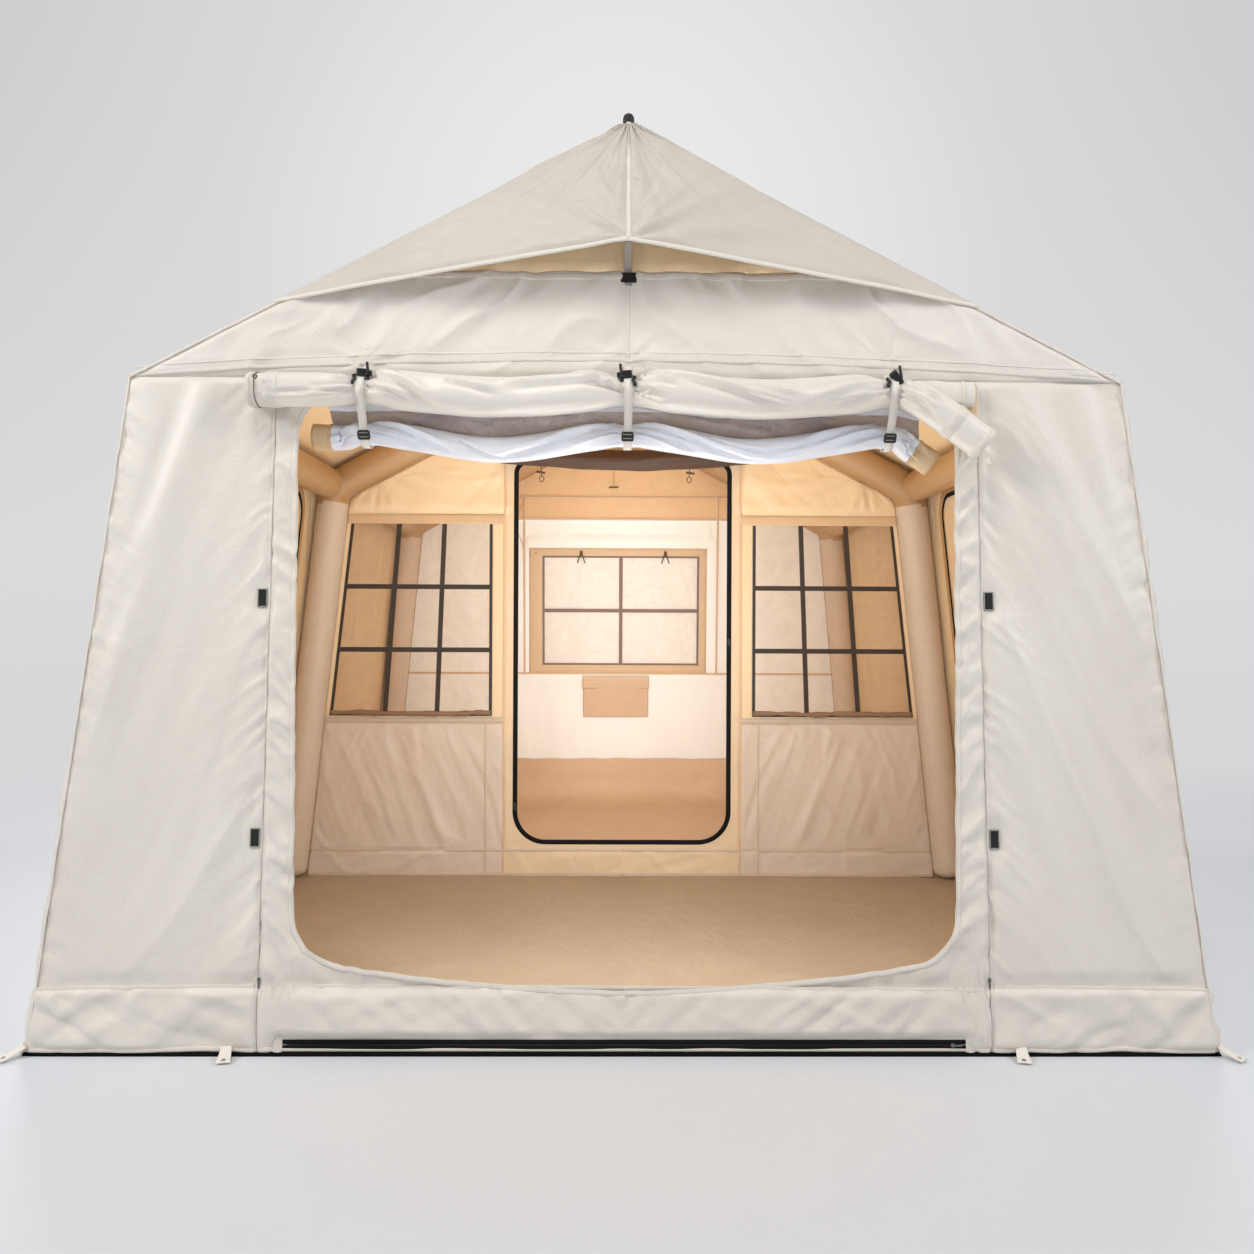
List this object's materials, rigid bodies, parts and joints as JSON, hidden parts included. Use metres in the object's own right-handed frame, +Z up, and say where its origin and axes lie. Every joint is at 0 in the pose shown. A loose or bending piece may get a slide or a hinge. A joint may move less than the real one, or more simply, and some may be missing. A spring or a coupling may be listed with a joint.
{
  "type": "inflatable tent",
  "caption": "Two-room inflatable cabin tent: air-beam arches, sloping fabric walls, gabled roof with fly, rolled-up front doors and a windowed partition.",
  "frame": {"origin": "on the ground under the middle arch, halfway between the side walls", "axes": "+Z up, -Y towards the front entrance, +X to the right of someone facing the entrance from outside"},
  "size_m": [3.3052, 4.109, 2.6467],
  "materials": {
    "shell_fabric": "coated polyester-cotton canvas, matt with a faint sheen",
    "inner_fabric": "thin breathable polyester, matt",
    "floor_fabric": "coated woven floor sheet, satin",
    "beam_sleeve": "taut woven sleeve over an air bladder, satin",
    "clear_film": "clear flexible film, glossy",
    "door_lining": "bluish white rolled film and fabric, satin",
    "vent_mesh": "fine woven mesh, matt",
    "webbing": "woven webbing, matt",
    "black_tape": "black woven tape, matt",
    "black_plastic": "moulded plastic, satin"
  },
  "bodies": {
    "tent": {"front_left_wall": "shell_fabric", "front_right_wall": "shell_fabric", "front_door_frame": "shell_fabric", "front_gable": "shell_fabric", "rear_wall": "shell_fabric", "rear_gable": "shell_fabric", "left_wall": "shell_fabric", "right_wall": "shell_fabric", "roof": "shell_fabric", "roof_fly": "shell_fabric", "outer_door_roll": "shell_fabric", "partition_wall": "inner_fabric", "partition_door_roll": "inner_fabric", "rear_pocket": "inner_fabric", "ground_sheet": "floor_fabric", "front_arch": "beam_sleeve", "middle_arch": "beam_sleeve", "rear_arch": "beam_sleeve", "left_front_eave_beam": "beam_sleeve", "left_rear_eave_beam": "beam_sleeve", "right_front_eave_beam": "beam_sleeve", "right_rear_eave_beam": "beam_sleeve", "front_ridge_beam": "beam_sleeve", "rear_ridge_beam": "beam_sleeve", "left_window_pane": "clear_film", "right_window_pane": "clear_film", "rear_window_pane": "clear_film", "inner_door_roll": "door_lining", "front_vent": "vent_mesh", "hood_strap": "webbing", "left_roll_strap": "webbing", "centre_roll_strap": "webbing", "right_roll_strap": "webbing", "left_window_grid": "black_tape", "right_window_grid": "black_tape", "rear_window_grid": "black_tape", "partition_door_zip": "black_tape", "threshold_zip": "black_tape", "peak_cap": "black_plastic", "inflation_valve": "black_plastic"},
    "left_side_door": {"left_side_door": "shell_fabric"},
    "right_side_door": {"right_side_door": "shell_fabric"},
    "rear_window_flap": {"rear_window_flap": "shell_fabric"},
    "left_lower_tab": {"left_lower_tab": "black_tape"},
    "left_upper_tab": {"left_upper_tab": "black_tape"},
    "right_lower_tab": {"right_lower_tab": "black_tape"},
    "right_upper_tab": {"right_upper_tab": "black_tape"},
    "front_left_corner_loop": {"front_left_corner_loop": "webbing"},
    "front_right_corner_loop": {"front_right_corner_loop": "webbing"},
    "rear_left_corner_loop": {"rear_left_corner_loop": "webbing"},
    "rear_right_corner_loop": {"rear_right_corner_loop": "webbing"},
    "front_left_loop": {"front_left_loop": "webbing"},
    "front_right_loop": {"front_right_loop": "webbing"},
    "valve_cap": {"valve_cap": "black_plastic"},
    "left_zip_slider": {"left_zip_slider": "black_plastic"},
    "right_zip_slider": {"right_zip_slider": "black_plastic"},
    "left_strap_clip": {"left_strap_clip": "black_plastic"},
    "centre_strap_clip": {"centre_strap_clip": "black_plastic"},
    "right_strap_clip": {"right_strap_clip": "black_plastic"},
    "hood_buckle": {"hood_buckle": "black_plastic"}
  },
  "joints": [
    {"name": "left_side_door_hinge", "type": "hinge", "parent": "tent", "child": "left_side_door", "pos_m": [-1.49816, -1.6594, 0.94201], "axis": [0.1075, 0, 0.9942], "range_deg": [0, 100]},
    {"name": "right_side_door_hinge", "type": "hinge", "parent": "tent", "child": "right_side_door", "pos_m": [1.49816, -1.6594, 0.94201], "axis": [0.1075, 0, -0.9942], "range_deg": [0, 100]},
    {"name": "rear_window_flap_hinge", "type": "hinge", "parent": "tent", "child": "rear_window_flap", "pos_m": [0, 1.93774, 0.86778], "axis": [-1, 0, 0], "range_deg": [0, 160]},
    {"name": "left_lower_tab_hinge", "type": "hinge", "parent": "tent", "child": "left_lower_tab", "pos_m": [-1.022, -1.96, 0.57362], "axis": [0, -0.0755, -0.9971], "range_deg": [0, 150]},
    {"name": "left_upper_tab_hinge", "type": "hinge", "parent": "tent", "child": "left_upper_tab", "pos_m": [-1.022, -1.91057, 1.22675], "axis": [0, -0.0755, -0.9971], "range_deg": [0, 150]},
    {"name": "right_lower_tab_hinge", "type": "hinge", "parent": "tent", "child": "right_lower_tab", "pos_m": [1.022, -1.96, 0.57362], "axis": [0, 0.0755, 0.9971], "range_deg": [0, 150]},
    {"name": "right_upper_tab_hinge", "type": "hinge", "parent": "tent", "child": "right_upper_tab", "pos_m": [1.022, -1.91057, 1.22675], "axis": [0, 0.0755, 0.9971], "range_deg": [0, 150]},
    {"name": "front_left_corner_loop_hinge", "type": "hinge", "parent": "tent", "child": "front_left_corner_loop", "pos_m": [-1.60028, -2.00028, 0.003], "axis": [-0.7071, 0.7071, 0], "range_deg": [0, 90]},
    {"name": "front_right_corner_loop_hinge", "type": "hinge", "parent": "tent", "child": "front_right_corner_loop", "pos_m": [1.60028, -2.00028, 0.003], "axis": [-0.7071, -0.7071, 0], "range_deg": [0, 90]},
    {"name": "rear_left_corner_loop_hinge", "type": "hinge", "parent": "tent", "child": "rear_left_corner_loop", "pos_m": [-1.60028, 2.00028, 0.003], "axis": [0.7071, 0.7071, 0], "range_deg": [0, 90]},
    {"name": "rear_right_corner_loop_hinge", "type": "hinge", "parent": "tent", "child": "rear_right_corner_loop", "pos_m": [1.60028, 2.00028, 0.003], "axis": [0.7071, -0.7071, 0], "range_deg": [0, 90]},
    {"name": "front_left_loop_hinge", "type": "hinge", "parent": "tent", "child": "front_left_loop", "pos_m": [-1.065, -2.0004, 0.003], "axis": [-1, 0, 0], "range_deg": [0, 90]},
    {"name": "front_right_loop_hinge", "type": "hinge", "parent": "tent", "child": "front_right_loop", "pos_m": [1.065, -2.0004, 0.003], "axis": [-1, 0, 0], "range_deg": [0, 90]},
    {"name": "valve_cap_turn", "type": "hinge", "parent": "tent", "child": "valve_cap", "pos_m": [-1.39753, -1.88732, 0.4419], "axis": [0.9942, 0, -0.1075], "range_deg": [0, 360]},
    {"name": "left_zip_slide", "type": "slide", "parent": "tent", "child": "left_zip_slider", "axis": [0, 0, 1], "range_m": [0, 1.43]},
    {"name": "right_zip_slide", "type": "slide", "parent": "tent", "child": "right_zip_slider", "axis": [0, 0, 1], "range_m": [-0.76, 0.67]},
    {"name": "left_strap_clip_slide", "type": "slide", "parent": "tent", "child": "left_strap_clip", "axis": [0, -0.524, 0.8517], "range_m": [-0.01, 0.06]},
    {"name": "centre_strap_clip_slide", "type": "slide", "parent": "tent", "child": "centre_strap_clip", "axis": [0, -0.524, 0.8517], "range_m": [-0.01, 0.06]},
    {"name": "right_strap_clip_slide", "type": "slide", "parent": "tent", "child": "right_strap_clip", "axis": [0, -0.524, 0.8517], "range_m": [-0.01, 0.06]},
    {"name": "hood_buckle_slide", "type": "slide", "parent": "tent", "child": "hood_buckle", "axis": [0, 0.0755, 0.9971], "range_m": [-0.012, 0.014]}
  ]
}
